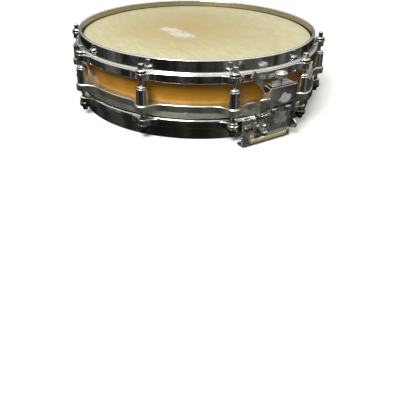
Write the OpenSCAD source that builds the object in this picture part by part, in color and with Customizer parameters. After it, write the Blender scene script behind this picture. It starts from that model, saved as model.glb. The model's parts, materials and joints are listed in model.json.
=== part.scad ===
// Snare drum with a free-floating shell. A cast frame round the shell carries the tube lugs, so no
// hardware is fixed to the wood. The snares run along X, with the throw-off at +X and the butt at -X.
// The origin is on the drum's axis, at the lower edge of the bottom rim, with +Z up.

/* [Drum] */
// Outside diameter of the shell
shell_d = 355.6; // [352:0.2:360]
// Height of the shell between its bearing edges
shell_h = 90.9; // [88:0.1:94]
// Wall thickness of the shell
shell_t = 7.5; // [5:0.5:9]
// Height from the bottom rim's edge to the top rim's edge
overall_h = 111.5; // [110:0.5:115]
// Number of lugs round the drum
lug_count = 10; // [8, 10]

/* [Hoops] */
// Height of the top rim above the shelf that carries the rods
top_rim_h = 18.5; // [17:0.5:18.5]
// Height of the bottom rim below its own shelf
bottom_rim_h = 18.5; // [17:0.5:18.5]
// Height of the flange between the shelf and the end of the skirt
flange_h = 12; // [11:0.5:12]
// Radius of the ear round each rod
hoop_ear_r = 6.2; // [5.8:0.1:7]

/* [Frame and lugs] */
// Height of the frame's upper face above the bottom rim's edge
frame_top_z = 50; // [49.5:0.5:51]
// Radius of the ear under each tube lug
frame_ear_r = 10.2; // [9.5:0.1:10.5]
// Outside radius of a tube lug
tube_r = 8; // [7:0.1:8.2]
// Length of a tube lug above the frame
tube_h = 26; // [22:0.5:28]

/* [Snares] */
// Number of coiled strands
strand_count = 20; // [12:2:20]
// Radius of one strand
strand_r = 0.75; // [0.6:0.05:0.8]
// Width of the straps that hold the snares
strap_w = 34.6; // [30:0.2:34.8]

/* [Throw-off] */
// Outside width of the throw lever
lever_w = 45; // [44:0.5:46]
// Height of the throw lever's top edge
lever_top_z = 77; // [75:0.5:77]
// Radius of the tension knob
knob_r = 8.5; // [7:0.5:9]

/* [Hidden] */
$fn = 96;
shell_r = shell_d / 2;
shell_z0 = (overall_h - shell_h) / 2;
shell_z1 = shell_z0 + shell_h;
lug_step = 360 / lug_count;

// Radii, each counted from the outside of the shell
film_r = shell_r + 0.8;
flesh_r = shell_r + 5.9;
rim_in_r = shell_r + 1.8;
rim_out_r = shell_r + 6.2;
pocket_r = shell_r + 6.6;
flange_r = shell_r + 12.2;
rod_circle_r = shell_r + 17.2;
ear_blend_r = 23;
ear_lap = 0.05;
frame_r = shell_r + 9.2;
skirt_r = shell_r + 8.2;

// Heads, each of which seats on a shoulder inside its hoop, a little past the shelf
film_t = 0.4;
shoulder_lap = 1;
flesh_h = 9.5;
edge_round = 1.2;

// Tension rods, their washers and the tube lugs that they thread into
rod_r = 2.78;
rod_bore_r = 2.83;
rod_hole_r = 3.3;
boss_h = 0.4;
boss_r = 7.6;
boss_depth = 2;
washer_t = 2.2;
washer_r = 7.2;
collar_t = 1.7;
collar_r = 6.9;
head_w = 6.35;
top_head_h = 8.4;
bottom_head_h = 6.2;
top_rod_l = 33;
bottom_rod_l = 36;
seat_drop = boss_h + washer_t;
ear_h = 10;
ear_step = 0.3;
skirt_chamfer = 2;
spigot_r = 4.9;
spigot_l = 11.5;

// Frame ring
frame_flange_h = 10.5;
frame_h = 18.5;
frame_in_r = shell_r + 2.7;
pad_w = 48;

// Planes of the throw-off and the butt, counted from the outside of the shell
pad_x = shell_r + 12.7;
gate_w = 40;
gate_low = 3.2;
gate_high = 12.3;
strap_x = shell_r + 28.8;
strap_t = 0.5;
snare_z = shell_z0 - film_t - 0.2 - strand_r;
strap_z = snare_z - strand_r;
strap_start_x = 163.5;
end_plate_x = 158;
end_plate_l = 10;
end_plate_t = 1.5;
strand_pitch = 1.75;
strand_half_l = 162;

bridge_t = 2;
bridge_z = 2;
bridge_left = -61;
bridge_right = 19;
bridge_x = shell_r + 32.2;
base_x = pad_x + bridge_t;
base_t = 3;
base_half_w = 20;
cheek_t = 2.1;
pivot_x = shell_r + 25.7;
pivot_z = 20.5;
pivot_r = 2.5;
arm_t = 2.2;
arm_r = 10;
lever_x = pivot_x + arm_r;
web_t = 2.5;
web_z = 52;
knob_x = shell_r + 27.2;
screw_r = 2.4;
carriage_x = base_x + base_t + 0.3;
carriage_t = 4.7;
carriage_top_z = 79.5;
block_x = carriage_x + carriage_t + 0.5;
block_lip_x = strap_x - 0.4;
jaw_x = strap_x + strap_t + 0.6;
jaw_half_w = 16.8;
seat_x = shell_r + 30.9;
plate_x = shell_r + 33.4;
knob_z = 88;
knob_h = 6;

// Heights of the clamps at the two ends: bottom of the jaw, its step, top of the plate, screws, strap
strainer_clamp = [16, 38.5, 48, 43.5, 35.6];
butt_clamp = [15, 36, 46, 41, 34];

// Screws: those that hold the two bases to the frame, the bridge's own, and the clamps'
base_screw_y = 8;
butt_screw_y = 20.5;
base_screw_z = 41;
base_screw_r = 2.5;
bridge_screw_y = -55.5;
bridge_screw_z = 26.5;
bridge_screw_r = 2;
clamp_screw_y = 12;
clamp_screw_r = 2;

rods = [for (i = [1:lug_count]) i];
function rod_name(side, i) = str(side, "_rod_", i < 10 ? "0" : "", i);

// A box given by its two opposite corners
module box(low, high) {
    translate(low) cube(high - low);
}

// Places its children at lug i, with their own X axis pointing away from the drum's axis
module at_lug(i) {
    rotate((i - 0.5) * lug_step) translate([rod_circle_r, 0, 0]) children();
}

// Turns children modelled on the bottom of the drum over onto the top
module on_top() {
    translate([0, 0, overall_h]) mirror([0, 0, 1]) children();
}

module at_butt() {
    rotate(180) children();
}

// Outline of an ear that grows out of a ring of radius ring_r through two hollow curves
module ear_outline(ear_r, ring_r) {
    // The centre of a curve lies this far from the drum's axis and from the ear's own. It laps both
    // circles a little, so that the outlines cross and don't just touch.
    far = ring_r + ear_blend_r - ear_lap;
    near = ear_r + ear_blend_r - ear_lap;
    out = (pow(far, 2) - pow(near, 2) - pow(rod_circle_r, 2)) / (2 * rod_circle_r);
    side = sqrt(pow(near, 2) - pow(out, 2));
    on_ear = (ear_r - 0.5) / near;
    on_ring = (ring_r - 1) / far;
    ring_x = on_ring * (rod_circle_r + out) - rod_circle_r;
    circle(r = ear_r);
    difference() {
        polygon([[ring_x, -on_ring * side], [on_ear * out, -on_ear * side],
                 [on_ear * out, on_ear * side], [ring_x, on_ring * side]]);
        for (way = [-1, 1]) translate([out, way * side]) circle(r = ear_blend_r);
    }
}

module shell() {
    edge_r = shell_r - 1.4;
    inner_r = shell_r - shell_t;
    drop = edge_r - inner_r;
    bed_r = 700;
    bed_depth = 1.2;
    color("peru") difference() {
        rotate_extrude() polygon([
            [inner_r, shell_z0 + drop], [edge_r, shell_z0], [shell_r, shell_z0 + 2],
            [shell_r, shell_z1 - 2], [edge_r, shell_z1], [inner_r, shell_z1 - drop]]);
        translate([0, 0, shell_z0 + bed_depth - bed_r])
            rotate([0, 90, 0]) cylinder(r = bed_r, h = 2 * shell_d, center = true);
    }
}

// The film of a head: a disc with a collar that turns down round the shell's edge
module film(rim_h) {
    inner_r = film_r - film_t;
    rim = shell_r - 1.2;
    collar_end = rim_h + shoulder_lap + flesh_h - 1.5;
    rotate_extrude() polygon([
        [0, shell_z0 - film_t], [rim + 0.2, shell_z0 - film_t], [film_r, shell_z0 + 2],
        [film_r, collar_end], [inner_r, collar_end],
        [inner_r, shell_z0 + 2.2], [rim, shell_z0], [0, shell_z0]]);
}

module flesh_hoop(rim_h) {
    low_z = rim_h + shoulder_lap;
    rotate_extrude() polygon([
        [film_r, low_z], [flesh_r, low_z], [flesh_r, low_z + flesh_h], [film_r, low_z + flesh_h]]);
}

module batter_head() {
    color("ivory") on_top() film(top_rim_h);
}

module resonant_head() {
    color("whitesmoke") film(bottom_rim_h);
}

module batter_flesh_hoop() {
    color("silver") on_top() flesh_hoop(top_rim_h);
}

module resonant_flesh_hoop() {
    color("silver") flesh_hoop(bottom_rim_h);
}

// A die-cast hoop, modelled as the bottom one: the rim's edge is at z = 0. Its ears end short of the
// skirt, which has a chamfered edge.
module hoop(rim_h) {
    hoop_h = rim_h + flange_h;
    upper_r = flange_r - ear_step;
    shoulder_z = rim_h + shoulder_lap;
    difference() {
        union() {
            rotate_extrude() polygon([
                [0, 0], [rim_out_r - edge_round, 0], [rim_out_r, edge_round],
                [rim_out_r, rim_h + 0.5], [0, rim_h + 0.5]]);
            translate([0, 0, rim_h]) linear_extrude(flange_h) {
                circle(r = flange_r);
                for (i = rods) at_lug(i) ear_outline(hoop_ear_r, flange_r);
            }
            for (i = rods) at_lug(i) translate([0, 0, rim_h - boss_h])
                cylinder(r = boss_r, h = boss_h + boss_depth);
        }
        rotate_extrude() polygon([
            [0, -1], [rim_in_r + edge_round + 1, -1], [rim_in_r, edge_round], [rim_in_r, shoulder_z],
            [pocket_r, shoulder_z], [pocket_r, hoop_h + 1], [0, hoop_h + 1]]);
        rotate_extrude() polygon([
            [upper_r, rim_h + ear_h], [upper_r, hoop_h - skirt_chamfer],
            [upper_r - skirt_chamfer - 1, hoop_h + 1], [shell_d, hoop_h + 1],
            [shell_d, rim_h + ear_h]]);
        for (i = rods) at_lug(i) translate([0, 0, -1]) cylinder(r = rod_hole_r, h = hoop_h + 2);
    }
}

module top_hoop() {
    color("lightgray") on_top() hoop(top_rim_h);
}

module bottom_hoop() {
    gate_reach = 40;
    color("lightgray") difference() {
        hoop(bottom_rim_h);
        for (side = [-1, 1])
            translate([side * rim_out_r, 0, (gate_low + gate_high) / 2])
                cube([gate_reach, gate_w, gate_high - gate_low], center = true);
    }
}

// The cast ring that floats round the shell, with an ear for each lug and a flat pad at each end
module bearing_frame() {
    flange_z = frame_top_z - frame_flange_h;
    lower_z = frame_top_z - frame_h;
    lip_h = 6;
    color("darkgray") difference() {
        union() {
            translate([0, 0, lower_z]) cylinder(r = skirt_r, h = frame_h - 1);
            translate([0, 0, flange_z]) linear_extrude(frame_flange_h) {
                circle(r = frame_r);
                for (i = rods) at_lug(i) ear_outline(frame_ear_r, frame_r);
                square([2 * pad_x, pad_w], center = true);
            }
            translate([0, 0, (lower_z + frame_top_z - 1) / 2])
                cube([2 * pad_x, pad_w, frame_h - 1], center = true);
        }
        rotate_extrude() polygon([
            [0, 0], [frame_in_r, 0], [frame_in_r, frame_top_z - lip_h],
            [shell_r, frame_top_z - lip_h], [shell_r, overall_h], [0, overall_h]]);
        for (i = rods) at_lug(i) cylinder(r = spigot_r, h = overall_h);
        for (y = [-1, 1]) {
            translate([0, y * base_screw_y, base_screw_z]) rotate([0, 90, 0])
                cylinder(r = base_screw_r, h = shell_d);
            translate([0, y * butt_screw_y, base_screw_z]) rotate([0, -90, 0])
                cylinder(r = base_screw_r, h = shell_d);
        }
    }
}

// Tube lugs: each stands on an ear of the frame and takes a rod from above and from below
module tube_lugs() {
    top_z = frame_top_z + tube_h;
    foot_z = frame_top_z - spigot_l;
    cap_r = tube_r - 1;
    cap_h = 3.4;
    color("lightgray") for (i = rods) at_lug(i) rotate_extrude() polygon([
        [rod_bore_r, foot_z], [spigot_r, foot_z], [spigot_r, frame_top_z], [tube_r, frame_top_z],
        [tube_r, top_z - cap_h - 0.8], [cap_r, top_z - cap_h], [cap_r, top_z - 1],
        [cap_r - 1, top_z], [rod_bore_r + 0.8, top_z], [rod_bore_r, top_z - 0.8]]);
}

module washer(rim_h) {
    translate([0, 0, rim_h - seat_drop]) difference() {
        cylinder(r = washer_r, h = washer_t);
        translate([0, 0, -1]) cylinder(r = rod_hole_r, h = washer_t + 2);
    }
}

module top_washers() {
    color("dimgray") on_top() for (i = rods) at_lug(i) washer(top_rim_h);
}

module bottom_washers() {
    color("dimgray") for (i = rods) at_lug(i) washer(bottom_rim_h);
}

// A square-headed tension rod, modelled as a bottom one: its head points down
module tension_rod(seat_z, length, head_h) {
    tip = 1;
    translate([0, 0, seat_z]) cylinder(r = rod_r, h = length - tip);
    translate([0, 0, seat_z + length - tip]) cylinder(r1 = rod_r, r2 = rod_r - tip, h = tip);
    translate([0, 0, seat_z - collar_t]) cylinder(r = collar_r, h = collar_t);
    translate([0, 0, seat_z - collar_t - head_h / 2]) cube([head_w, head_w, head_h], center = true);
}

module top_rod(i) {
    color("gainsboro") on_top() at_lug(i) tension_rod(top_rim_h - seat_drop, top_rod_l, top_head_h);
}

module bottom_rod(i) {
    color("gainsboro") at_lug(i)
        tension_rod(bottom_rim_h - seat_drop, bottom_rod_l, bottom_head_h);
}

module snare_wires() {
    first_y = -(strand_count - 1) / 2 * strand_pitch;
    color("lightsteelblue") for (k = [0:strand_count - 1])
        translate([-strand_half_l, first_y + k * strand_pitch, snare_z])
            rotate([0, 90, 0]) cylinder(r = strand_r, h = 2 * strand_half_l);
}

module snare_end_plates() {
    half_w = strand_count / 2 * strand_pitch + 1;
    color("goldenrod") for (turn = [0, 180])
        rotate(turn) box([end_plate_x, -half_w, strap_z - end_plate_t],
                         [end_plate_x + end_plate_l, half_w, strap_z]);
}

// A plastic strap, flat from the end plate and turned up into the clamp
module strap(top_z) {
    half_w = strap_w / 2;
    box([strap_start_x, -half_w, strap_z], [strap_x + strap_t, half_w, strap_z + strap_t]);
    box([strap_x, -half_w, strap_z], [strap_x + strap_t, half_w, top_z]);
}

module strainer_strap() {
    color("wheat") strap(strainer_clamp[4]);
}

module butt_strap() {
    color("wheat") at_butt() strap(butt_clamp[4]);
}

// Bent plate under the throw-off: a back wall with a window for the strap, a floor and a front lip
module snare_bridge() {
    wall_left = -50;
    wall_z = 30;
    tab_z = 48;
    tab_half_w = 17;
    lip_z = 9.3;
    post_right = -50;
    post_z = 32;
    floor_back = shell_r + 19.2;
    color("silver") difference() {
        union() {
            box([pad_x, wall_left, bridge_z], [pad_x + bridge_t, bridge_right, wall_z]);
            box([pad_x, -tab_half_w, bridge_z], [pad_x + bridge_t, tab_half_w, tab_z]);
            box([pad_x, wall_left, bridge_z], [bridge_x, bridge_right, bridge_z + bridge_t]);
            box([floor_back, bridge_left, bridge_z], [bridge_x, wall_left, bridge_z + bridge_t]);
            box([bridge_x - bridge_t, bridge_left, bridge_z], [bridge_x, bridge_right, lip_z]);
            box([bridge_x - bridge_t, bridge_left, bridge_z], [bridge_x, post_right, post_z]);
        }
        box([pad_x - 1, -18.5, bridge_z + bridge_t + 0.4], [pad_x + bridge_t + 1, 18.5, 11.5]);
        for (y = [-1, 1]) translate([0, y * base_screw_y, base_screw_z]) rotate([0, 90, 0])
            cylinder(r = base_screw_r, h = shell_d);
        translate([0, bridge_screw_y, bridge_screw_z]) rotate([0, 90, 0])
            cylinder(r = bridge_screw_r, h = shell_d);
    }
}

// Nylon strip on the front of the lip
module bridge_glide() {
    color("cornsilk") box([bridge_x, -48, bridge_z + 2.6], [bridge_x + 1.2, 13, bridge_z + 7]);
}

module bridge_screw() {
    head_h = 2.4;
    color("dimgray") translate([bridge_x, bridge_screw_y, bridge_screw_z]) rotate([0, 90, 0]) {
        cylinder(r = 3.3, h = head_h);
        translate([0, 0, -6]) cylinder(r = bridge_screw_r, h = 7);
    }
}

// Base of the throw-off: a back plate with two guides for the carriage and two cheeks for the pivots
module strainer_base() {
    low_z = 12;
    high_z = 74;
    cheek_z = 32;
    cheek_x = shell_r + 31.2;
    guide_low_z = 34;
    guide_high_z = 72;
    guide_in = 14.5;
    guide_x = carriage_x + carriage_t;
    color("silver") difference() {
        union() {
            box([base_x, -base_half_w, low_z], [base_x + base_t, base_half_w, high_z]);
            for (side = [0, 1]) mirror([0, side, 0]) {
                box([base_x, base_half_w - cheek_t, low_z], [cheek_x, base_half_w, cheek_z]);
                box([base_x, guide_in, guide_low_z], [guide_x, base_half_w - cheek_t, guide_high_z]);
            }
        }
        translate([pivot_x, 0, pivot_z]) rotate([90, 0, 0])
            cylinder(r = pivot_r, h = 3 * base_half_w, center = true);
        for (y = [-1, 1]) translate([0, y * base_screw_y, base_screw_z]) rotate([0, 90, 0]) {
            cylinder(r = base_screw_r, h = shell_d);
            translate([0, 0, base_x]) cylinder(r1 = base_screw_r, r2 = 2 * base_screw_r, h = base_t);
        }
    }
}

module strainer_base_screws() {
    depth = 10;
    color("gray") for (y = [-1, 1]) translate([base_x, y * base_screw_y, base_screw_z])
        rotate([0, 90, 0]) {
            cylinder(r1 = base_screw_r, r2 = 2 * base_screw_r, h = base_t);
            translate([0, 0, -depth]) cylinder(r = base_screw_r, h = depth);
        }
}

// Rivets that the lever turns on
module lever_pivots() {
    arm_out = lever_w / 2;
    gap = 0.3;
    head_t = 1.6;
    color("gainsboro") for (side = [0, 1]) mirror([0, side, 0])
        translate([pivot_x, 0, pivot_z]) rotate([-90, 0, 0]) {
            translate([0, 0, base_half_w - cheek_t])
                cylinder(r = pivot_r, h = arm_out + gap - base_half_w + cheek_t);
            translate([0, 0, arm_out + gap]) cylinder(r = 4, h = head_t);
        }
}

// Side arm of the lever as an outline in the plane of X and Z, round at its pivot end
module arm_outline() {
    translate([pivot_x, pivot_z]) circle(r = arm_r);
    translate([pivot_x - arm_r, pivot_z]) square([2 * arm_r, lever_top_z - pivot_z]);
}

module arm_plate(y_in) {
    translate([0, y_in + arm_t, 0]) rotate([90, 0, 0]) linear_extrude(arm_t) children();
}

// Channel-shaped throw lever with a finger tab at its top and a stop toe on its right arm
module throw_lever() {
    arm_in = lever_w / 2 - arm_t;
    tab_x = pivot_x - 0.5;
    tab_t = 3;
    toe_r = 6.5;
    tab_end = -45;
    tab_end_z = 99;
    tab_half = 4.6;
    color("lightgray") difference() {
        union() {
            arm_plate(-lever_w / 2) arm_outline();
            arm_plate(arm_in) {
                arm_outline();
                translate([pivot_x + arm_r, pivot_z - 1.5]) circle(r = toe_r);
            }
            box([lever_x - web_t, -lever_w / 2, web_z], [lever_x, lever_w / 2, lever_top_z]);
            translate([tab_x, 0, 0]) rotate([90, 0, 90]) linear_extrude(tab_t) polygon([
                [-arm_in, lever_top_z - 7], [-arm_in - 4, lever_top_z - 7],
                [tab_end - tab_half, tab_end_z - tab_half], [tab_end, tab_end_z + tab_half],
                [-arm_in, lever_top_z]]);
        }
        translate([pivot_x, 0, pivot_z]) rotate([90, 0, 0])
            cylinder(r = pivot_r + 0.05, h = 2 * lever_w, center = true);
    }
}

// Slide that carries the clamp and the tension screw, with a flat top under the knob
module strainer_carriage() {
    half_w = 14.2;
    top_half_w = 17.8;
    low_z = 36;
    top_t = 3;
    front_x = shell_r + 31.9;
    slot_x = carriage_x + carriage_t;
    color("silver") difference() {
        union() {
            box([carriage_x, -half_w, low_z], [carriage_x + carriage_t, half_w, carriage_top_z]);
            box([carriage_x, -top_half_w, carriage_top_z - top_t],
                [front_x, top_half_w, carriage_top_z]);
        }
        translate([knob_x, 0, 0]) cylinder(r = screw_r + 0.1, h = overall_h);
        for (side = [-1, 1])
            translate([slot_x + 1, side * 9.5, carriage_top_z]) cube([1.8, 11, 4 * top_t], center = true);
    }
}

// Block that the tension screw raises and lowers, with the strap in front of its lower half
module clamp_block() {
    low_z = strainer_clamp[0];
    step_z = strainer_clamp[1];
    boss_r = seat_x - knob_x - 0.1;
    boss_floor = 1.5;
    boss_top_z = 62;
    color("darkgray") difference() {
        union() {
            box([block_x, -jaw_half_w, low_z], [block_lip_x, jaw_half_w, step_z]);
            box([block_x, -jaw_half_w, step_z], [seat_x, jaw_half_w, strainer_clamp[2]]);
            translate([knob_x, 0, step_z + boss_floor])
                cylinder(r = boss_r, h = boss_top_z - step_z - boss_floor);
        }
        translate([knob_x, 0, step_z + boss_floor]) cylinder(r = screw_r + 0.05, h = overall_h);
        clamp_screw_holes(strainer_clamp[3]);
    }
}

// Plate with a jaw that holds the strap: the jaw reaches back towards the block
module clamp_jaw(half_w, clamp) {
    difference() {
        union() {
            box([seat_x, -half_w, clamp[1]], [plate_x, half_w, clamp[2]]);
            box([seat_x, -jaw_half_w, clamp[0]], [plate_x, jaw_half_w, clamp[2]]);
            box([jaw_x, -jaw_half_w, clamp[0]], [seat_x + 1, jaw_half_w, clamp[1]]);
        }
        clamp_screw_holes(clamp[3]);
    }
}

module clamp_screw_holes(z) {
    for (y = [-1, 1]) translate([0, y * clamp_screw_y, z]) rotate([0, 90, 0])
        cylinder(r = clamp_screw_r, h = shell_d);
}

// A pair of square-headed clamp screws
module clamp_screw_pair(z) {
    depth = 9;
    flange_t = 1;
    square_h = 4;
    for (y = [-1, 1]) translate([plate_x, y * clamp_screw_y, z]) rotate([0, 90, 0]) {
        translate([0, 0, -depth]) cylinder(r = clamp_screw_r, h = depth);
        cylinder(r = 4.6, h = flange_t);
        translate([0, 0, flange_t + square_h / 2]) cube([head_w, head_w, square_h], center = true);
    }
}

module clamp_plate() {
    color("lightgray") clamp_jaw(19.5, strainer_clamp);
}

module clamp_screws() {
    color("gainsboro") clamp_screw_pair(strainer_clamp[3]);
}

module tension_screw() {
    low_z = 43;
    color("dimgray") translate([knob_x, 0, low_z]) cylinder(r = screw_r, h = knob_z - low_z);
}

// Knurled knob with a shallow dish in its top
module tension_knob() {
    groove_count = 30;
    color("whitesmoke") translate([knob_x, 0, knob_z]) difference() {
        rotate_extrude() polygon([
            [0, 0], [knob_r - 1, 0], [knob_r, 1], [knob_r, knob_h - 1], [knob_r - 1, knob_h],
            [knob_r - 3.5, knob_h], [knob_r - 4.5, knob_h - 1], [0, knob_h - 1]]);
        for (k = [0:groove_count - 1]) rotate(k * 360 / groove_count)
            translate([knob_r + 0.2, 0, 1.6]) cylinder(r = 0.6, h = knob_h - 3.2, $fn = 24);
    }
}

// Fixed anchor at the other end of the snares
module butt_base() {
    half_w = pad_w / 2;
    plate_low_z = 32;
    plate_high_z = 49.5;
    color("silver") at_butt() difference() {
        union() {
            box([pad_x, -half_w, plate_low_z], [pad_x + base_t, half_w, plate_high_z]);
            box([pad_x, -jaw_half_w, butt_clamp[0]], [block_lip_x, jaw_half_w, butt_clamp[1]]);
            box([pad_x, -jaw_half_w, butt_clamp[1]], [seat_x, jaw_half_w, butt_clamp[2]]);
        }
        clamp_screw_holes(butt_clamp[3]);
        for (y = [-1, 1]) translate([0, y * butt_screw_y, base_screw_z]) rotate([0, 90, 0])
            cylinder(r = base_screw_r, h = shell_d);
    }
}

module butt_base_screws() {
    depth = 9;
    color("gray") at_butt() for (y = [-1, 1])
        translate([pad_x + base_t, y * butt_screw_y, base_screw_z]) rotate([0, 90, 0]) {
            cylinder(r = 3.4, h = 2.5);
            translate([0, 0, -depth]) cylinder(r = base_screw_r, h = depth);
        }
}

module butt_clamp_plate() {
    color("lightgray") at_butt() clamp_jaw(18.5, butt_clamp);
}

module butt_clamp_screws() {
    color("gainsboro") at_butt() clamp_screw_pair(butt_clamp[3]);
}

shell();
batter_head();
batter_flesh_hoop();
resonant_head();
resonant_flesh_hoop();
top_hoop();
bottom_hoop();
bearing_frame();
tube_lugs();
top_washers();
bottom_washers();
snare_wires();
snare_end_plates();
strainer_strap();
butt_strap();
snare_bridge();
bridge_glide();
bridge_screw();
strainer_base();
strainer_base_screws();
lever_pivots();
throw_lever();
strainer_carriage();
clamp_block();
clamp_plate();
clamp_screws();
tension_screw();
tension_knob();
butt_base();
butt_base_screws();
butt_clamp_plate();
butt_clamp_screws();
for (i = rods) top_rod(i);
for (i = rods) bottom_rod(i);
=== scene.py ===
"""The looks of a free-floating snare drum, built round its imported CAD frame.

Every shown piece stands for a CAD node. Plates, blocks and screws are the CAD shapes with their edges
rounded. Hoops, frame, lugs, rods, knob, head and snares are modelled here in more detail, on the sizes
that the frame gives. Lengths are in metres, with the snares along X and the throw-off at +X.
"""

import json
import math

import bmesh
import bpy
from mathutils import Matrix, Vector


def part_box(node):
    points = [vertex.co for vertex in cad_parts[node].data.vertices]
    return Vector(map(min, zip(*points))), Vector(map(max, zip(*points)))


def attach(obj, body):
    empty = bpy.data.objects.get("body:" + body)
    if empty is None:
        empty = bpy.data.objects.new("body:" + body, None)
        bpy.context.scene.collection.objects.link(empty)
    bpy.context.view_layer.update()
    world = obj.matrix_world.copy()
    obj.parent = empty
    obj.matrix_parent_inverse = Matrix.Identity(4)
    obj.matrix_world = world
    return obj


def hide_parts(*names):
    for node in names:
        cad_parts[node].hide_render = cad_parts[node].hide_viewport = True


MM = 0.001

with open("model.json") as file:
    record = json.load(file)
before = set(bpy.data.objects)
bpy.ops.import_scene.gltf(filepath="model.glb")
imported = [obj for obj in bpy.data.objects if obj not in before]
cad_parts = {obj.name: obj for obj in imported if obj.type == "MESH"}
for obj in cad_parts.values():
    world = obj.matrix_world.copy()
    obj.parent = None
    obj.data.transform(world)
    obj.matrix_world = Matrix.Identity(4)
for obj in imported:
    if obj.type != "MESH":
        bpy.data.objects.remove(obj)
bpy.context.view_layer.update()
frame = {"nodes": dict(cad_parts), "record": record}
record = frame["record"]
body_of = {node: body for body, nodes in record["behaviour"]["bodies"].items() for node in nodes}
slot_of = {part["node"]: part["material_slot"] for part in record["subparts"]}

# Sizes read from the CAD nodes
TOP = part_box("top_hoop")[1].z
SHELL_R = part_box("shell")[1].x
LUG_COUNT = sum(name.startswith("top_rod_") for name in frame["nodes"])
LUG_STEP = 2 * math.pi / LUG_COUNT

# Sizes of the hoops, which stand round the shell: the rim, the groove for the flesh hoop, and the flange
RIM_IN = SHELL_R + 1.8 * MM
RIM_OUT = SHELL_R + 6.2 * MM
POCKET = SHELL_R + 6.6 * MM
FLANGE_R = SHELL_R + 12.2 * MM
FLANGE_H = 12 * MM
EAR_H = 10 * MM
EAR_R = 6.2 * MM
EAR_BLEND = 23 * MM
BOSS_R = 7.6 * MM
BOSS_H = 0.4 * MM
ROD_HOLE_R = 3.3 * MM

# Sizes of the frame: its ears, and its pads under the throw-off and the butt
FRAME_EAR_R = 10.2 * MM
PAD_W = 48 * MM

# Radius at which a turned outline ends on its own axis
AXIS = 0.001 * MM

# Points nearer together than this are joined, and edges that turn by more than this angle are sharp
WELD = 0.002 * MM
SHARP = math.radians(35)


def node_centre(node):
    low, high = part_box(node)
    return (low + high) / 2


rod_centre = node_centre("top_rod_01")
ROD_CIRCLE = math.hypot(rod_centre.x, rod_centre.y)


# ---------------------------------------------------------------- materials

CHROME = (0.80, 0.79, 0.76)
# Brownish dark painted over chrome: shade with some grime on the rims' insides, and plain painted shade low
# down
GRIME_AND_SHADE = (0.38, 0.355, 0.28)
# Near black painted over the lower ends of the rods as shade
LOW_ROD_SHADE = (0.13, 0.125, 0.11)

# The head: the colours of its worn coating, its stain, and the way that the sticks ran across it
FILM_TAN = (0.35, 0.25, 0.095)
FILM_MID = (0.37, 0.31, 0.155)
FILM_EDGE = (0.45, 0.425, 0.265)
FILM_STROKE = (0.31, 0.245, 0.11)
FILM_BARE = (0.46, 0.455, 0.41)
STAIN_CENTRE = (-24 * MM, -6 * MM)
STAIN_R = 150 * MM
PLAY_ANGLE = math.radians(57)

# Painted shade, mixed with brownish grime, darkens the insides of the rims, and painted shade darkens
# whatever is nearer to the floor than these heights
HOOP_GRIME_AND_SHADE_R = RIM_IN + 0.2 * MM
HOOP_SHADE_Z = 26 * MM
ROD_SHADE_Z = 32 * MM

# Where hands have dulled the plating: the middle of the clamp plate, and the flat of the lever above it
PLATE_RUB = node_centre("clamp_plate")
LEVER_RUB = node_centre("lever_pivots") + Vector((10, 3.5, 40.5)) * MM


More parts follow.
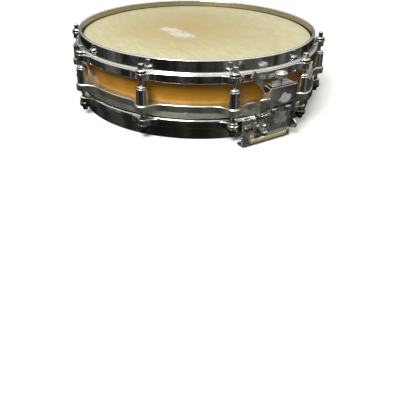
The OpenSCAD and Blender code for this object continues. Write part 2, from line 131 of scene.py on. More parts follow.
class Surface:
    """A material being made: one Principled shader and the nodes that feed it."""

    def __init__(self, name, **values):
        self.material = bpy.data.materials.new(name)
        self.material.use_nodes = True
        self.tree = self.material.node_tree
        self.shader = self.tree.nodes["Principled BSDF"]
        for socket, value in values.items():
            self.shader.inputs[socket.replace("_", " ")].default_value = value
        self.place = self.tree.nodes.new("ShaderNodeTexCoord").outputs["Object"]

    def add(self, kind, **settings):
        made = self.tree.nodes.new(kind)
        for key, value in settings.items():
            setattr(made, key, value)
        return made

    def join(self, socket, target):
        self.tree.links.new(socket, target)

    def stretched(self, scale, turn=0):
        """Object coordinates scaled by a different amount along each axis, and turned about Z."""
        mapping = self.add("ShaderNodeMapping")
        mapping.inputs["Rotation"].default_value[2] = turn
        mapping.inputs["Scale"].default_value = scale
        self.join(self.place, mapping.inputs["Vector"])
        return mapping.outputs["Vector"]

    def length(self, vector):
        made = self.add("ShaderNodeVectorMath", operation="LENGTH")
        self.join(vector, made.inputs[0])
        return made.outputs["Value"]

    def reach(self, centre, size, turn=0):
        """Distance from a centre, which is 1 on the skin of an ellipsoid of that size turned about Z."""
        mapping = self.add("ShaderNodeMapping", vector_type="TEXTURE")
        mapping.inputs["Location"].default_value = centre
        mapping.inputs["Rotation"].default_value[2] = turn
        mapping.inputs["Scale"].default_value = size
        self.join(self.place, mapping.inputs["Vector"])
        return self.length(mapping.outputs["Vector"])

    def noise(self, scale, detail=3, roughness=0.5, distortion=0, vector=None):
        made = self.add("ShaderNodeTexNoise")
        made.inputs["Scale"].default_value = scale
        made.inputs["Detail"].default_value = detail
        made.inputs["Roughness"].default_value = roughness
        made.inputs["Distortion"].default_value = distortion
        self.join(vector or self.place, made.inputs["Vector"])
        return made.outputs["Fac"]

    def ramp(self, factor, *stops):
        """A colour, or a grey where stops are plain numbers, looked up by a factor from 0 to 1."""
        made = self.add("ShaderNodeValToRGB")
        elements = made.color_ramp.elements
        while len(elements) < len(stops):
            elements.new(1)
        for element, (position, value) in zip(elements, stops):
            element.position = position
            element.color = (*value, 1) if hasattr(value, "__len__") else (value, value, value, 1)
        self.join(factor, made.inputs["Fac"])
        return made.outputs["Color"]

    def mix(self, factor, a, b):
        """Two colours mixed by a factor; each may be a socket, a colour or a number."""
        made = self.add("ShaderNodeMix", data_type="RGBA")
        for value, target in ((factor, made.inputs[0]), (a, made.inputs[6]), (b, made.inputs[7])):
            if isinstance(value, bpy.types.NodeSocket):
                self.join(value, target)
            elif hasattr(value, "__len__"):
                target.default_value = (*value, 1)
            elif target.type == "RGBA":
                target.default_value = (value, value, value, 1)
            else:
                target.default_value = value
        return made.outputs[2]

    def maths(self, operation, *values):
        made = self.add("ShaderNodeMath", operation=operation)
        for value, target in zip(values, made.inputs):
            if isinstance(value, bpy.types.NodeSocket):
                self.join(value, target)
            else:
                target.default_value = value
        return made.outputs[0]

    def bump(self, height, depth, strength):
        """Surface relief of a height from 0 to 1, where 1 stands depth metres proud."""
        made = self.add("ShaderNodeBump")
        made.inputs["Strength"].default_value = strength
        made.inputs["Distance"].default_value = depth
        self.join(height, made.inputs["Height"])
        self.join(made.outputs["Normal"], self.shader.inputs["Normal"])

    def feed(self, name, socket):
        self.join(socket, self.shader.inputs[name])


def chrome(name, rough, wear, dulling=0.12, grime_and_shade_colour=GRIME_AND_SHADE, inner_grime_and_shade_r=0.0, low_shade_z=0.0):
    """Plating: bright metal that is dulled in patches and pitted with small dark specks.

    The given dark colour is painted over it as shade, with grime on the rims' insides, nearer to the drum's
    axis than the given radius and nearer to the floor than the given height.
    """
    s = Surface(name, Metallic=1.0)
    haze = s.noise(48, detail=5, roughness=0.65)
    speck = s.noise(900, detail=2)
    cluster = s.noise(150, detail=4, roughness=0.7)
    pitted = s.ramp(s.maths("ADD", speck, s.maths("MULTIPLY", cluster, wear)), (0.72, 0.0), (0.80, 1.0))
    plated = s.ramp(haze, (0.35, CHROME), (0.8, tuple(0.72 * c for c in CHROME)))
    # Masks for painted shade, with grime inside the rim: inside the radius, and under the height
    inside = s.maths("LESS_THAN", s.length(s.stretched((1.0, 1.0, 0.0))), inner_grime_and_shade_r)
    axes = s.add("ShaderNodeSeparateXYZ")
    s.join(s.place, axes.inputs[0])
    beneath = s.maths("LESS_THAN", axes.outputs["Z"], low_shade_z)
    grime_and_shade_mask = s.maths("MAXIMUM", inside, beneath)
    s.feed("Base Color", s.mix(pitted, s.mix(grime_and_shade_mask, plated, grime_and_shade_colour), (0.09, 0.085, 0.07)))
    shine = s.ramp(haze, (0.48, rough), (0.62, rough + dulling))
    s.feed("Roughness", s.mix(grime_and_shade_mask, shine, 0.2))
    s.bump(s.mix(pitted, s.noise(260, detail=3), 0.0), 0.00002, 0.4)
    return s


def rubbed(s, centre, size, rough, metal):
    """Roughens a soft-edged patch of plating where hands keep rubbing it, and makes it less metallic."""
    ragged = s.maths("ADD", s.reach(centre, size), s.maths("MULTIPLY", s.noise(170, detail=4), 0.9))
    shine = s.shader.inputs["Roughness"].links[0].from_socket
    s.feed("Roughness", s.mix(s.ramp(ragged, (0.95, 1.0), (1.3, 0.0)), shine, rough))
    s.feed("Metallic", s.ramp(ragged, (0.95, metal), (1.3, 1.0)))
    return s


def cast_alloy(name, dark, light, rough, metallic=0.75):
    """Satin cast aluminium: fine grain, handling marks and a cloudy tone."""
    s = Surface(name, Metallic=metallic)
    cloud = s.noise(26, detail=6, roughness=0.65, distortion=0.4)
    grain = s.noise(1300, detail=2)
    scuff = s.noise(130, detail=4, roughness=0.7, vector=s.stretched((1.0, 1.0, 3.0)))
    base = s.ramp(cloud, (0.3, dark), (0.7, light))
    scuffed = s.mix(s.ramp(scuff, (0.52, 0.0), (0.75, 0.5)), base, tuple(1.5 * c for c in light))
    s.feed("Base Color", s.mix(s.ramp(grain, (0.35, 0.0), (0.7, 0.35)), scuffed, dark))
    s.feed("Roughness", s.ramp(cloud, (0.3, rough), (0.7, rough + 0.14)))
    s.bump(grain, 0.00003, 0.5)
    return s


def lacquered_maple():
    """Honey-coloured veneer with its grain round the shell, under clear gloss lacquer."""
    s = Surface("shell_maple", Roughness=0.35, Coat_Weight=1.0, Coat_Roughness=0.04)
    figure = s.noise(7, detail=5, roughness=0.55, distortion=0.5, vector=s.stretched((1.0, 1.0, 6.0)))
    fibres = s.noise(70, detail=4, roughness=0.65, vector=s.stretched((0.3, 0.3, 10.0)))
    curl = s.noise(30, detail=2, vector=s.stretched((1.0, 1.0, 0.3)))
    base = s.ramp(figure, (0.25, (0.28, 0.12, 0.007)), (0.5, (0.40, 0.18, 0.012)),
                  (0.78, (0.54, 0.265, 0.024)))
    streaked = s.mix(s.ramp(fibres, (0.35, 0.3), (0.62, 0.0)), base, (0.25, 0.095, 0.006))
    s.feed("Base Color", s.mix(s.ramp(curl, (0.4, 0.0), (0.7, 0.2)), streaked, (0.58, 0.31, 0.04)))
    s.bump(fibres, 0.00001, 0.25)
    return s


def on_head(s, centre, along, across, turn=0):
    """Distance from a centre on the head, which is 1 on an ellipse; height makes no difference to it."""
    return s.reach((*centre, 0), (along, across, 1e6), turn)


def bare_patch(s, centre, along, across, ragged):
    """1 inside an ellipse on the head and 0 outside, with a ragged edge."""
    reach = on_head(s, centre, along, across, math.radians(25))
    edge = s.maths("ADD", reach, s.maths("MULTIPLY", ragged, 1.9))
    return s.ramp(edge, (0.0, 1.0), (0.62, 1.0), (0.98, 0.0))


def coated_film():
    """White coated film gone cream, tan where it is struck, with bare patches worn through."""
    s = Surface("batter_film", Roughness=0.55, Coat_Weight=0.1, Coat_Roughness=0.4)
    blotch = s.maths("MULTIPLY", s.noise(9, detail=5, roughness=0.6), 0.75)
    stain = s.maths("ADD", on_head(s, STAIN_CENTRE, STAIN_R, STAIN_R), blotch)
    stained = s.ramp(s.maths("MULTIPLY", stain, 0.6), (0.22, FILM_TAN), (0.55, FILM_MID), (0.95, FILM_EDGE))
    stroke = s.noise(170, detail=5, roughness=0.75, vector=s.stretched((0.3, 1.2, 1.0), -PLAY_ANGLE))
    struck = s.mix(s.ramp(stroke, (0.42, 0.0), (0.68, 0.6)), stained, FILM_STROKE)
    ragged = s.maths("SUBTRACT", s.noise(130, detail=4, roughness=0.7), 0.5)
    first = bare_patch(s, (-24 * MM, -36 * MM), 23 * MM, 13.5 * MM, ragged)
    second = bare_patch(s, (9 * MM, -35 * MM), 27 * MM, 16 * MM, ragged)
    bare = s.maths("MAXIMUM", first, second)
    s.feed("Base Color", s.mix(s.maths("MULTIPLY", bare, 0.85), struck, FILM_BARE))
    s.bump(s.noise(1400, detail=3), 0.00004, 0.5)
    return s


def clear_film():
    """Clear film with a faint haze."""
    s = Surface("resonant_film", Roughness=0.18, IOR=1.5, Coat_Weight=0.5, Coat_Roughness=0.05)
    haze = s.noise(16, detail=4)
    s.feed("Base Color", s.ramp(haze, (0.3, (0.52, 0.53, 0.50)), (0.7, (0.66, 0.66, 0.62))))
    s.bump(s.noise(60, detail=3), 0.00005, 0.4)
    return s


def plastic(name, light, dark, rough, scale):
    """Moulded plastic with a slight mottle and fine scratches."""
    s = Surface(name, IOR=1.5)
    mottle = s.noise(scale, detail=4)
    s.feed("Base Color", s.ramp(mottle, (0.3, dark), (0.7, light)))
    s.feed("Roughness", s.ramp(s.noise(700, detail=3), (0.3, rough), (0.7, rough + 0.18)))
    s.bump(s.noise(900, detail=2), 0.00002, 0.4)
    return s


def plain_metal(name, light, dark, rough):
    """Turned or rolled metal with fine scratches."""
    s = Surface(name, Metallic=1.0)
    cloud = s.noise(120, detail=4, roughness=0.6)
    scratch = s.noise(900, detail=3, vector=s.stretched((1.0, 1.0, 0.15)))
    s.feed("Base Color", s.ramp(cloud, (0.3, dark), (0.7, light)))
    s.feed("Roughness", s.ramp(s.maths("ADD", cloud, s.maths("MULTIPLY", scratch, 0.4)),
                               (0.4, rough), (0.9, rough + 0.2)))
    s.bump(scratch, 0.00001, 0.4)
    return s


surfaces = {
    "shell_maple": lacquered_maple(),
    "batter_film": coated_film(),
    "resonant_film": clear_film(),
    "flesh_alloy": plain_metal("flesh_alloy", (0.72, 0.72, 0.72), (0.55, 0.55, 0.55), 0.3),
    # Hoops: painted shade with grime inside the rims, and painted shade low on the bottom hoop
    "hoop_chrome": chrome("hoop_chrome", 0.09, 0.18, inner_grime_and_shade_r=HOOP_GRIME_AND_SHADE_R, low_shade_z=HOOP_SHADE_Z),
    "frame_alloy": cast_alloy("frame_alloy", (0.56, 0.55, 0.46), (0.78, 0.77, 0.66), 0.25, metallic=1.0),
    "lug_chrome": chrome("lug_chrome", 0.05, 0.20),
    "washer_steel": plain_metal("washer_steel", (0.045, 0.045, 0.042), (0.015, 0.015, 0.015), 0.3),
    "wire_steel": plain_metal("wire_steel", (0.62, 0.63, 0.64), (0.48, 0.49, 0.5), 0.25),
    "plate_brass": plain_metal("plate_brass", (0.72, 0.55, 0.27), (0.5, 0.36, 0.16), 0.28),
    "strap_plastic": plastic("strap_plastic", (0.62, 0.60, 0.5), (0.5, 0.48, 0.38), 0.25, 40),
    "bridge_chrome": chrome("bridge_chrome", 0.10, 0.30, dulling=0.25),
    "glide_nylon": plastic("glide_nylon", (0.62, 0.52, 0.27), (0.40, 0.33, 0.16), 0.4, 90),
    "screw_steel": plain_metal("screw_steel", (0.3, 0.3, 0.28), (0.12, 0.12, 0.11), 0.22),
    "strainer_chrome": rubbed(chrome("strainer_chrome", 0.10, 0.30, dulling=0.36),
                              PLATE_RUB, (30 * MM, 22 * MM, 16 * MM), rough=0.45, metal=0.8),
    "block_alloy": cast_alloy("block_alloy", (0.14, 0.14, 0.12), (0.26, 0.26, 0.22), 0.35),
    "lever_chrome": rubbed(chrome("lever_chrome", 0.06, 0.22, dulling=0.2),
                           LEVER_RUB, (30 * MM, 21 * MM, 12 * MM), rough=0.6, metal=0.45),
    "rivet_steel": plain_metal("rivet_steel", (0.7, 0.7, 0.67), (0.4, 0.4, 0.37), 0.15),
    "clamp_screw_chrome": chrome("clamp_screw_chrome", 0.1, 0.25),
    "knob_chrome": plain_metal("knob_chrome", (0.74, 0.72, 0.66), (0.50, 0.49, 0.44), 0.26),
    # Rods: near-black painted shade on their lower ends
    "rod_chrome": chrome("rod_chrome", 0.09, 0.2, grime_and_shade_colour=LOW_ROD_SHADE, low_shade_z=ROD_SHADE_Z),
}


# ---------------------------------------------------------------- mesh tools


def stand_for(piece, *nodes):
    """A piece takes the place of CAD nodes: their body, their slot and its material."""
    slot = slot_of[nodes[0]]
    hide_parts(*nodes)
    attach(piece, body_of[nodes[0]])
    piece.data.materials.clear()
    piece.data.materials.append(surfaces[slot].material)


def finished(name, mesh, sharp=SHARP):
    """An object from a mesh, shaded smooth except across edges sharper than the angle."""
    mesh.shade_smooth()
    mesh.set_sharp_from_angle(angle=sharp)
    piece = bpy.data.objects.new(name, mesh)
    bpy.context.scene.collection.objects.link(piece)
    level = piece.modifiers.new("level", "WEIGHTED_NORMAL")
    level.keep_sharp = True
    return piece


def mesh_from(name, vertices, faces):
    mesh = bpy.data.meshes.new(name)
    mesh.from_pydata(vertices, [], faces)
    bm = bmesh.new()
    bm.from_mesh(mesh)
    bmesh.ops.remove_doubles(bm, verts=bm.verts, dist=WELD)
    bmesh.ops.recalc_face_normals(bm, faces=bm.faces)
    bm.to_mesh(mesh)
    bm.free()
    return mesh


def skin(rows, closed_rows, closed_columns):
    """Vertices and quads over a grid of points."""
    height, width = len(rows), len(rows[0])
    faces = []
    for i in range(height if closed_rows else height - 1):
        for j in range(width if closed_columns else width - 1):
            k, m = (i + 1) % height, (j + 1) % width
            faces.append((i * width + j, i * width + m, k * width + m, k * width + j))
    return [point for row in rows for point in row], faces


def rounded(corners, steps=4):
    """A closed outline of (u, v, radius) corners with each corner rounded to its radius."""
    points = []
    for i, (u, v, radius) in enumerate(corners):
        here = Vector((u, v))
        if radius == 0:
            points.append((u, v))
            continue
        back = (Vector(corners[i - 1][:2]) - here).normalized()
        ahead = (Vector(corners[(i + 1) % len(corners)][:2]) - here).normalized()
        half = back.angle(ahead) / 2
        centre = here + (back + ahead).normalized() * (radius / math.sin(half))
        first = here + back * (radius / math.tan(half)) - centre
        last = here + ahead * (radius / math.tan(half)) - centre
        turn = first.angle_signed(last)
        for step in range(steps + 1):
            spot = centre + Matrix.Rotation(-turn * step / steps, 2) @ first
            points.append((spot.x, spot.y))
    return points


def lathe(outline, count):
    """A ring of an outline of (radius, height) points turned about Z."""
    rows = [[(r * math.cos(a), r * math.sin(a), z)
             for a in (2 * math.pi * k / count for k in range(count))] for r, z in outline]
    return skin(rows, closed_rows=True, closed_columns=True)


def moved(vertices, matrix):
    return [tuple(matrix @ Vector(v)) for v in vertices]


def merged(shapes):
    """Several (vertices, faces) shapes as one."""
    vertices, faces = [], []
    for more, polygons in shapes:
        faces += [tuple(i + len(vertices) for i in face) for face in polygons]
        vertices += more
    return vertices, faces


def at_lug(k):
    """From the origin to lug k, with X pointing away from the drum's axis."""
    return Matrix.Rotation((k + 0.5) * LUG_STEP, 4, "Z") @ Matrix.Translation((ROD_CIRCLE, 0, 0))


def at_every_lug(shape):
    vertices, faces = shape
    return merged([(moved(vertices, at_lug(k)), faces) for k in range(LUG_COUNT)])


def cut_by(piece, shape, operation):
    """Cuts a shape out of a piece, or joins it on, and keeps the result as its mesh."""
    tool_mesh = mesh_from("tool", *shape)
    tool = bpy.data.objects.new("tool", tool_mesh)
    bpy.context.scene.collection.objects.link(tool)
    boolean = piece.modifiers.new("cut", "BOOLEAN")
    boolean.operation = operation
    boolean.solver = "EXACT"
    boolean.object = tool
    bpy.context.view_layer.update()
    result = bpy.data.meshes.new_from_object(piece.evaluated_get(bpy.context.evaluated_depsgraph_get()))
    piece.modifiers.remove(boolean)
    piece.data = result
    bpy.data.objects.remove(tool)
    bpy.data.meshes.remove(tool_mesh)


def stand_in(node, shape, sharp=SHARP):
    """A (vertices, faces) shape that is shown in the place of a CAD node."""
    stand_for(finished("v_" + node, mesh_from("v_" + node, *shape), sharp), node)


def edge_rounded(node, width):
    """A CAD node's own shape with its flat faces made whole and its corners rounded to a width."""
    flat = math.radians(0.6)
    corner = math.radians(32)
    mesh = bpy.data.meshes.new(node + "_soft")
    bm = bmesh.new()
    bm.from_mesh(frame["nodes"][node].data)
    bmesh.ops.remove_doubles(bm, verts=bm.verts, dist=WELD)
    bmesh.ops.dissolve_limit(bm, angle_limit=flat, verts=bm.verts, edges=bm.edges)
    sharp = [e for e in bm.edges if len(e.link_faces) == 2 and e.calc_face_angle() > corner]
    bmesh.ops.bevel(bm, geom=sharp, offset=width, segments=3, profile=0.5,
                    affect="EDGES", clamp_overlap=True, offset_type="OFFSET")
    bm.to_mesh(mesh)
    bm.free()
    stand_for(finished("v_" + node, mesh), node)


# ---------------------------------------------------------------- hoops and frame


def eared_outline(ring_r, ear_r, blend_r):
    """The outline of a ring with an ear at each lug, as (point, outward normal, angle) all the way round.

    A hollow curve of blend_r leads from the ear to the ring, and touches both.
    """
    ear_steps, blend_steps, ring_steps = 10, 12, 9
    far, near = ring_r + blend_r, ear_r + blend_r
    out = (far**2 - near**2 - ROD_CIRCLE**2) / (2 * ROD_CIRCLE)
    side = math.sqrt(near**2 - out**2)
    curve = Vector((ROD_CIRCLE + out, side))
    ear = Vector((ROD_CIRCLE, 0))
    half = []
    ear_end = math.atan2(side, out)
    for i in range(ear_steps):
        a = ear_end * i / ear_steps
        normal = Vector((math.cos(a), math.sin(a)))
        half.append((ear + normal * ear_r, normal))
    first = (ear - curve).normalized()
    last = (-curve).normalized()
    sweep = first.angle_signed(last)
    for i in range(blend_steps + 1):
        away = Matrix.Rotation(-sweep * i / blend_steps, 2) @ first
        half.append((curve + away * blend_r, -away))
    start = math.atan2(curve.y, curve.x)
    for i in range(1, ring_steps + 1):
        a = start + (LUG_STEP / 2 - start) * i / ring_steps
        normal = Vector((math.cos(a), math.sin(a)))
        half.append((normal * ring_r, normal))
    mirrored = [(Vector((p.x, -p.y)), Vector((n.x, -n.y))) for p, n in reversed(half[1:-1])]
    sector = mirrored + half
    points = []
    for k in range(LUG_COUNT):
        turn = Matrix.Rotation((k + 0.5) * LUG_STEP, 2)
        for p, n in sector:
            point, normal = turn @ p, turn @ n
            points.append((point, normal, math.atan2(point.y, point.x)))
    return points


def eared_ring(outline, ring_r, profile):
    """A ring with ears, from a closed list of profile rows (kind, size, z).

    An "r" row lies at a plain radius. An "in" row lies at an inset from the outline. An "ear" row does
    the same on the ears, and stays at the ring's own radius between them.
    """
    rows = []
    for kind, size, z in profile:
        row = []
        for point, normal, angle in outline:
            ray = Vector((math.cos(angle), math.sin(angle)))
            flat = ray * size
            if kind != "r":
                flat = point - normal * size
            if kind == "ear" and flat.length < ring_r:
                flat = ray * ring_r
            row.append((flat.x, flat.y, z))
        rows.append(row)
    return skin(rows, closed_rows=True, closed_columns=True)


def arc_rows(kind, centre, z, radius, start, end, steps=4):
    """Profile rows along an arc; angles are in degrees from outward, towards up."""
    sign = 1 if kind == "r" else -1
    rows = []
    for i in range(steps + 1):
        a = math.radians(start + (end - start) * i / steps)
        rows.append((kind, centre + sign * radius * math.cos(a), z + radius * math.sin(a)))
    return rows


def hoop_mesh(name, height):
    """A die-cast hoop standing on its rim: a rounded rim, a shelf with ears, and a skirt."""
    shelf = height - FLANGE_H
    ear_end = shelf + EAR_H
    pocket_roof = shelf + 1 * MM
    lip, edge, fillet, fold = 1.7 * MM, 1.2 * MM, 3.2 * MM, 0.8 * MM
    foot = FLANGE_H - EAR_H
    profile = (
        arc_rows("r", RIM_IN + lip, lip, lip, 180, 270)
        + arc_rows("r", RIM_OUT - lip, lip, lip, 270, 360)
        + arc_rows("r", RIM_OUT + fillet, shelf - fillet, fillet, 180, 90, 6)
        + arc_rows("in", edge, shelf + edge, edge, -90, 0)
        + arc_rows("ear", fold, ear_end - fold, fold, 0, 90)
        + arc_rows("r", FLANGE_R - foot, height - foot, foot, 0, 90, 6)
        + [("r", POCKET, height), ("r", POCKET, pocket_roof), ("r", RIM_IN, pocket_roof)]
    )
    outline = eared_outline(FLANGE_R, EAR_R, EAR_BLEND)
    piece = finished(name, mesh_from(name, *eared_ring(outline, FLANGE_R, profile)))
    boss_root, boss_end = shelf + 2 * MM, shelf - BOSS_H
    boss = rounded([(AXIS, boss_root, 0), (BOSS_R, boss_root, 0.1 * MM),
                    (BOSS_R, boss_end, 0.6 * MM), (AXIS, boss_end, 0)])
    cut_by(piece, at_every_lug(lathe(boss, 40)), "UNION")
    hole_start, hole_end = shelf - 5 * MM, height + 5 * MM
    hole = [(AXIS, hole_start), (ROD_HOLE_R, hole_start), (ROD_HOLE_R, hole_end), (AXIS, hole_end)]
    cut_by(piece, at_every_lug(lathe(hole, 32)), "DIFFERENCE")
    piece.data.set_sharp_from_angle(angle=SHARP)
    return piece


def block_shape(low, high, corner):
    """A box between its lowest and highest points, with the four edges along X rounded."""
    outline = rounded([(low.y, low.z, corner), (high.y, low.z, corner),
                       (high.y, high.z, corner), (low.y, high.z, corner)])
    count = len(outline)
    vertices = [(x, y, z) for x in (low.x, high.x) for y, z in outline]
    faces = [(i, (i + 1) % count, count + (i + 1) % count, count + i) for i in range(count)]
    faces += [tuple(range(count)), tuple(range(2 * count - 1, count - 1, -1))]
    return vertices, faces


def blocks_at_both_ends(near, far, width, low, high, corner):
    """Two blocks across the X axis, at the throw-off and at the butt, from near to far from the middle."""
    shapes = []
    for side in (-1, 1):
        x0, x1 = sorted((side * near, side * far))
        shapes.append(block_shape(Vector((x0, -width / 2, low)), Vector((x1, width / 2, high)), corner))
    return merged(shapes)


def top_hoop():
    """A hoop turned over, so that its rim is up."""
    low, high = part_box("top_hoop")
    piece = hoop_mesh("v_top_hoop", high.z - low.z)
    piece.data.transform(Matrix.Translation((0, 0, TOP)) @ Matrix.Scale(-1, 4, (0, 0, 1)))
    piece.data.flip_normals()
    stand_for(piece, "top_hoop")


def bottom_hoop():
    """A hoop with a gate in its rim at either end of the snares, for their straps."""
    piece = hoop_mesh("v_bottom_hoop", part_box("bottom_hoop")[1].z)
    gate_low, gate_high, gate_w, gate_corner = 3.2 * MM, 12.3 * MM, 40 * MM, 1.5 * MM
    gates = blocks_at_both_ends(RIM_IN - 20 * MM, RIM_OUT + 8 * MM, gate_w, gate_low, gate_high, gate_corner)
    cut_by(piece, gates, "DIFFERENCE")
    piece.data.set_sharp_from_angle(angle=SHARP)
    stand_for(piece, "bottom_hoop")


def bearing_frame():
    """The cast ring: an eared flange with a soft upper edge, over a band that leans out, and two pads."""
    low, top = (corner.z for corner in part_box("bearing_frame"))
    pad_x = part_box("bearing_frame")[1].x
    snug, clear, waist, outer = (SHELL_R + gap * MM for gap in (0.05, 2.7, 7.4, 9.2))
    bearing_low = top - 6 * MM
    under = top - 10.5 * MM
    crown, fold, band, rebate = 2.0 * MM, 0.8 * MM, 1.0 * MM, 0.4 * MM
    profile = (
        [("r", snug, top), ("r", snug, bearing_low), ("r", clear, bearing_low), ("r", clear, low)]
        + arc_rows("r", outer - band, low + band, band, 270, 360)
        + [("r", waist, under - rebate), ("in", 1.6 * MM, under)]
        + arc_rows("in", fold, under + fold, fold, 270, 360)
        + arc_rows("in", crown, top - crown, crown, 0, 90, 6)
    )
    outline = eared_outline(outer, FRAME_EAR_R, EAR_BLEND)
    piece = finished("v_bearing_frame", mesh_from("v_bearing_frame", *eared_ring(outline, outer, profile)))
    pads = blocks_at_both_ends(SHELL_R + 6 * MM, pad_x, PAD_W, low, top, 1.2 * MM)
    cut_by(piece, pads, "UNION")
    piece.data.set_sharp_from_angle(angle=SHARP)
    stand_for(piece, "bearing_frame")


# ---------------------------------------------------------------- lugs and rods

WASHER_R = 7.2 * MM
HEAD_W = 6.35 * MM
TOP_HEAD_H = 8.4 * MM
BOTTOM_HEAD_H = 6.2 * MM
COLLAR_H = 1.7 * MM
COLLAR_R = 6.9 * MM
SHAFT_R = 2.78 * MM
THREAD_L = 12 * MM
THREAD_PITCH = 0.8 * MM
THREAD_DEPTH = 0.32 * MM


def tube_lugs():
    """Tubes with a narrower domed cap, one standing on each ear of the frame."""
    low, high = (corner.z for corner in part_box("tube_lugs"))
    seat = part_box("bearing_frame")[1].z
    bore, spigot, cap, tube = (r * MM for r in (2.83, 4.9, 7.0, 8.0))
    cap_h, ledge, dome, chamfer = 3.4 * MM, 0.5 * MM, 2.4 * MM, 0.4 * MM
    outline = rounded([
        (bore, low, 0), (spigot, low, 0), (spigot, seat, 0), (tube, seat, 0),
        (tube, high - cap_h - ledge, 0.4 * MM), (cap, high - cap_h, 0.15 * MM),
        (cap, high, dome), (bore + chamfer, high, 0.1 * MM), (bore, high - chamfer, 0.1 * MM)], 8)
    stand_in("tube_lugs", at_every_lug(lathe(outline, 56)))


def washers(node):
    """A flat washer under each rod's flange."""
    low, high = (corner.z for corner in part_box(node))
    outline = rounded([(ROD_HOLE_R, low, 0.3 * MM), (WASHER_R, low, 0.6 * MM),
                       (WASHER_R, high, 0.6 * MM), (ROD_HOLE_R, high, 0.3 * MM)])
    stand_in(node, at_every_lug(lathe(outline, 48)))


def thread(low, high, around):
    """A rod's screw thread, as rows of points about Z; its grooves run out to nothing at both ends."""
    rows_a_turn = 6
    steps = int((high - low) / THREAD_PITCH * rows_a_turn)
    rows = []
    for i in range(steps + 1):
        z = low + (high - low) * i / steps
        row = []
        for j in range(around):
            turn = (z / THREAD_PITCH - j / around) % 1.0
            fade = min(1.0, (z - low) / THREAD_PITCH, (high - z) / THREAD_PITCH)
            r = SHAFT_R - THREAD_DEPTH * fade * (1 - abs(2 * turn - 1))
            a = 2 * math.pi * j / around
            row.append((r * math.cos(a), r * math.sin(a), z))
        rows.append(row)
    return rows


def square_head(low, high):
    """A square head with rounded uprights and a crowned end, as rows of points about Z."""
    half, corner, crown_h = HEAD_W / 2, 0.9 * MM, 1.0 * MM
    square = rounded([(half, -half, corner), (half, half, corner),
                      (-half, half, corner), (-half, -half, corner)])
    crown = ((1.0, 0.0), (0.985, 0.35), (0.93, 0.66), (0.8, 0.86), (0.5, 0.97), (0.001, 1.0))
    rows = [[(x, y, low) for x, y in square]]
    for width_left, rise in crown:
        z = high - crown_h + crown_h * rise
        rows.append([(x * width_left, y * width_left, z) for x, y in square])
    return rows


def tension_rod(node):
    """A tension rod: a crowned square head on a dished flange, a plain neck and a threaded end."""
    low, high = (corner.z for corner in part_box(node))
    upright = node.startswith("top")
    length = high - low
    flange_high = length - (TOP_HEAD_H if upright else BOTTOM_HEAD_H)
    flange_low = flange_high - COLLAR_H
    overlap = 0.2 * MM
    around = 24
    tip = [(AXIS / 2 * math.cos(a), AXIS / 2 * math.sin(a), 0)
           for a in (2 * math.pi * j / around for j in range(around))]
    rows = [tip] + thread(0.6 * MM, THREAD_L, around)
    rows.append([(x, y, flange_low + overlap) for x, y, z in rows[-1]])
    step_low, step_high = flange_high - 0.3 * MM, flange_high + 0.4 * MM
    collar = rounded([(AXIS, flange_low, 0), (COLLAR_R, flange_low, 0.15 * MM),
                      (COLLAR_R, flange_high, 0.7 * MM), (4.9 * MM, step_low, 0.5 * MM),
                      (4.4 * MM, step_high, 0.4 * MM), (AXIS, step_high, 0)])
    head = square_head(flange_high - overlap, length)
    vertices, faces = merged([skin(rows, False, True), lathe(collar, 40), skin(head, False, True)])
    centre = node_centre(node)
    place = Matrix.Rotation(math.atan2(centre.y, centre.x), 4, "Z")
    if not upright:
        place = place @ Matrix.Translation((0, 0, length)) @ Matrix.Rotation(math.pi, 4, "X")
    place = Matrix.Translation((centre.x, centre.y, low)) @ place
    stand_in(node, (moved(vertices, place), faces))


# ---------------------------------------------------------------- shell, heads and snares

FILM_R = SHELL_R + 0.8 * MM
STRAND_COUNT = 20
WIRE_R = 0.27 * MM
COIL_PITCH = 2.3 * MM


def ring_piece(node, outline):
    """A CAD ring made again in fine steps, from an outline of (radius, height) points."""
    stand_in(node, lathe(outline, 256))


def batter_head():
    """The playing film: flat over the shell, bent softly over its edge and down to the flesh hoop."""
    low, top = (corner.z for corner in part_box("batter_head"))
    film = 0.4 * MM
    crest = SHELL_R - 1.4 * MM
    bend_end = top - 3 * MM
    flat_rings = 14
    outer_rows = [(AXIS, top)] + [(crest * k / flat_rings, top) for k in range(1, flat_rings + 1)]
    outer_rows += [(crest + 1.2 * MM, top - 0.45 * MM), (FILM_R - 0.45 * MM, top - 1.4 * MM),
                   (FILM_R, bend_end), (FILM_R, low)]
    inner_rows = [(FILM_R - film, low), (FILM_R - film, bend_end), (crest + 0.6 * MM, top - film - 0.5 * MM),
                  (crest - 0.4 * MM, top - film), (AXIS, top - film)]
    ring_piece("batter_head", outer_rows + inner_rows)


def flesh_hoop(node):
    """The metal hoop round a head's film."""
    low, high = (corner.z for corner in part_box(node))
    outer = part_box(node)[1].x
    ring_piece(node, rounded([(FILM_R, low, 0.3 * MM), (outer, low, 0.8 * MM),
                              (outer, high, 0.8 * MM), (FILM_R, high, 0.3 * MM)]))


def snare_wires():
    """Strands of coiled wire side by side, from end plate to end plate."""
    low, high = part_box("snare_wires")
    z = (low.z + high.z) / 2
    strand_r = (high.z - low.z) / 2
    coil_r = strand_r - WIRE_R
    spacing = (high.y - low.y - 2 * strand_r) / (STRAND_COUNT - 1)
    span = high.x - low.x
    around = 9
    steps = int(span / COIL_PITCH * around)
    shapes = []
    for k in range(STRAND_COUNT):
        y = low.y + strand_r + k * spacing
        rows = []
        for i in range(steps + 1):
            a = 2 * math.pi * i / around
            centre = Vector((low.x + span * i / steps, y + coil_r * math.cos(a), z + coil_r * math.sin(a)))
            out = Vector((0, math.cos(a), math.sin(a)))
            rows.append([tuple(centre + WIRE_R * (out * c + Vector((s, 0, 0))))
                         for c, s in ((1, 0), (0, 1), (-1, 0), (0, -1))])
        shapes.append(skin(rows, False, True))
    stand_in("snare_wires", merged(shapes), sharp=math.radians(80))


# ---------------------------------------------------------------- throw-off


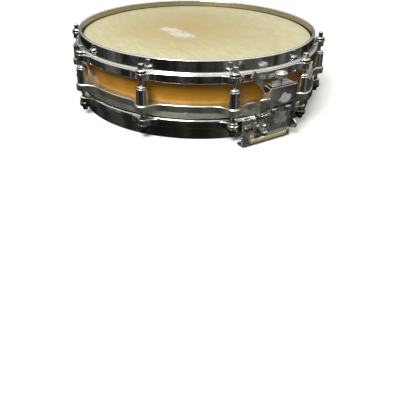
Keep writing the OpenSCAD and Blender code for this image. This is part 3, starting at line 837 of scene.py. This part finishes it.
def tension_knob():
    """A knob with a dished top, whose wall is cut into rounded ribs."""
    low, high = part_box("tension_knob")
    height = high.z - low.z
    radius = (high.x - low.x) / 2
    centre = node_centre("tension_knob")
    foot, shoulder, lip, dish = 0.6 * MM, 0.8 * MM, 3 * MM, 4.2 * MM
    outline = rounded([
        (AXIS, 0, 0), (radius - foot, 0, 0.2 * MM), (radius, foot, 0.2 * MM),
        (radius, height - shoulder, 0.3 * MM), (radius - shoulder, height, 0.4 * MM),
        (radius - lip, height, 0.5 * MM), (radius - dish, height - 1.1 * MM, 0.6 * MM),
        (AXIS, height - 1.3 * MM, 0)])
    count, ribs, depth = 180, 36, 0.35 * MM
    rows = []
    for r, z in outline:
        wall = r > radius - depth
        row = []
        for j in range(count):
            a = 2 * math.pi * j / count
            cut = depth * (0.5 - 0.5 * math.cos(ribs * a)) if wall else 0
            row.append((centre.x + (r - cut) * math.cos(a), centre.y + (r - cut) * math.sin(a), low.z + z))
        rows.append(row)
    stand_in("tension_knob", skin(rows, True, True))


top_hoop()
bottom_hoop()
bearing_frame()
tube_lugs()
washers("top_washers")
washers("bottom_washers")
for rod in sorted(frame["nodes"]):
    if "_rod_" in rod:
        tension_rod(rod)
batter_head()
flesh_hoop("batter_flesh_hoop")
flesh_hoop("resonant_flesh_hoop")
snare_wires()
tension_knob()

# CAD nodes whose own shape is shown, and how far their edges are rounded, in millimetres
for node, width in (
    ("shell", 0.4), ("resonant_head", 0.1), ("snare_end_plates", 0.25), ("strainer_strap", 0.1),
    ("butt_strap", 0.1), ("snare_bridge", 0.7), ("bridge_glide", 0.4), ("bridge_screw", 0.3),
    ("strainer_base", 0.4), ("strainer_base_screws", 0.2), ("lever_pivots", 0.5),
    ("throw_lever", 0.8), ("strainer_carriage", 0.6), ("clamp_block", 0.4), ("clamp_plate", 0.8),
    ("clamp_screws", 0.4), ("tension_screw", 0.2), ("butt_base", 0.5), ("butt_base_screws", 0.4),
    ("butt_clamp_plate", 0.8), ("butt_clamp_screws", 0.4),
):
    edge_rounded(node, width * MM)


# ---------------------------------------------------------------- stage, light and camera

# Brightness of the room from straight down, at 0, to straight up, at 1
ROOM = ((0.0, 0.008), (0.45, 0.012), (0.52, 0.12), (0.62, 0.28), (0.72, 0.86), (1.0, 1.05))

# Brightness of the things in it, looked up by a cloudy noise
THINGS = ((0.46, 0.0), (0.55, 0.06), (0.62, 0.22), (0.74, 0.45))

CAMERA_PLACE = (0.67787, -0.43144, 0.31353)
CAMERA_HEADING = 56.5206
CAMERA_DOWN = 26.1954
CAMERA_ROLL = 1.2135


def stage_floor():
    """A plain pale floor. Its light is kept off the drum, so that upright chrome stays dark."""
    half = 12.0
    mesh = mesh_from("floor", [(-half, -half, 0), (half, -half, 0), (half, half, 0), (-half, half, 0)],
                     [(0, 1, 2, 3)])
    floor = bpy.data.objects.new("floor", mesh)
    bpy.context.scene.collection.objects.link(floor)
    s = Surface("floor_paint", Roughness=0.9)
    s.feed("Base Color", s.ramp(s.noise(3, detail=3), (0.3, (0.86, 0.86, 0.85)), (0.7, (0.89, 0.89, 0.88))))
    mesh.materials.append(s.material)
    floor.visible_glossy = False
    floor.visible_diffuse = False


def softbox(name, place, aim, size, power):
    """A rectangular light at a place, turned to face what it aims at."""
    data = bpy.data.lights.new(name, "AREA")
    data.shape = "RECTANGLE"
    data.size, data.size_y = size
    data.energy = power
    light = bpy.data.objects.new(name, data)
    light.location = place
    light.rotation_euler = (Vector(aim) - Vector(place)).to_track_quat("-Z", "Y").to_euler()
    bpy.context.scene.collection.objects.link(light)


def world_ramp(tree, factor, stops):
    """A warm grey looked up by a factor from 0 to 1."""
    ramp = tree.nodes.new("ShaderNodeValToRGB")
    while len(ramp.color_ramp.elements) < len(stops):
        ramp.color_ramp.elements.new(1)
    for element, (position, value) in zip(ramp.color_ramp.elements, stops):
        element.position = position
        element.color = (value, value, value * 0.97, 1)
    tree.links.new(factor, ramp.inputs["Fac"])
    return ramp.outputs["Color"]


def studio():
    """A pale ceiling over a dim room: polished faces show the ceiling, or the dark floor level.

    The room's lower half has a few lighter things in it, which give the tubes their streaks.
    """
    world = bpy.data.worlds.new("studio")
    bpy.context.scene.world = world
    world.use_nodes = True
    tree = world.node_tree
    place = tree.nodes.new("ShaderNodeTexCoord")
    split = tree.nodes.new("ShaderNodeSeparateXYZ")
    height = tree.nodes.new("ShaderNodeMapRange")
    height.inputs["From Min"].default_value = -1
    tree.links.new(place.outputs["Generated"], split.inputs[0])
    tree.links.new(split.outputs["Z"], height.inputs["Value"])
    room = world_ramp(tree, height.outputs["Result"], ROOM)
    stretched = tree.nodes.new("ShaderNodeMapping")
    stretched.inputs["Scale"].default_value = (1.0, 1.0, 0.25)
    tree.links.new(place.outputs["Generated"], stretched.inputs["Vector"])
    things = tree.nodes.new("ShaderNodeTexNoise")
    things.inputs["Scale"].default_value = 6
    things.inputs["Detail"].default_value = 2
    tree.links.new(stretched.outputs["Vector"], things.inputs["Vector"])
    lighter = world_ramp(tree, things.outputs["Fac"], THINGS)
    total = tree.nodes.new("ShaderNodeMix")
    total.data_type = "RGBA"
    total.blend_type = "ADD"
    total.inputs[0].default_value = 0.5
    tree.links.new(room, total.inputs[6])
    tree.links.new(lighter, total.inputs[7])
    tree.links.new(total.outputs[2], tree.nodes["Background"].inputs["Color"])
    softbox("overhead", (0.2, -0.2, 1.8), aim=(0, 0, 0.1), size=(2.4, 2.0), power=4)
    softbox("key", (0.58, -0.90, 1.19), aim=(0, 0, 0.08), size=(0.7, 0.7), power=25)


def photograph_camera():
    """A camera where the photograph was taken from, with the drum in the same place in its frame."""
    data = bpy.data.cameras.new("camera")
    data.lens = 46.0
    data.sensor_width = 36.0
    data.shift_x = -0.01035
    data.shift_y = -0.16578
    camera = bpy.data.objects.new("camera", data)
    turn = (Matrix.Rotation(math.radians(CAMERA_HEADING), 4, "Z")
            @ Matrix.Rotation(math.radians(90 - CAMERA_DOWN), 4, "X")
            @ Matrix.Rotation(math.radians(CAMERA_ROLL), 4, "Z"))
    camera.matrix_world = Matrix.Translation(CAMERA_PLACE) @ turn
    bpy.context.scene.collection.objects.link(camera)
    bpy.context.scene.camera = camera


stage_floor()
studio()
photograph_camera()
bpy.context.scene.view_settings.view_transform = "Standard"
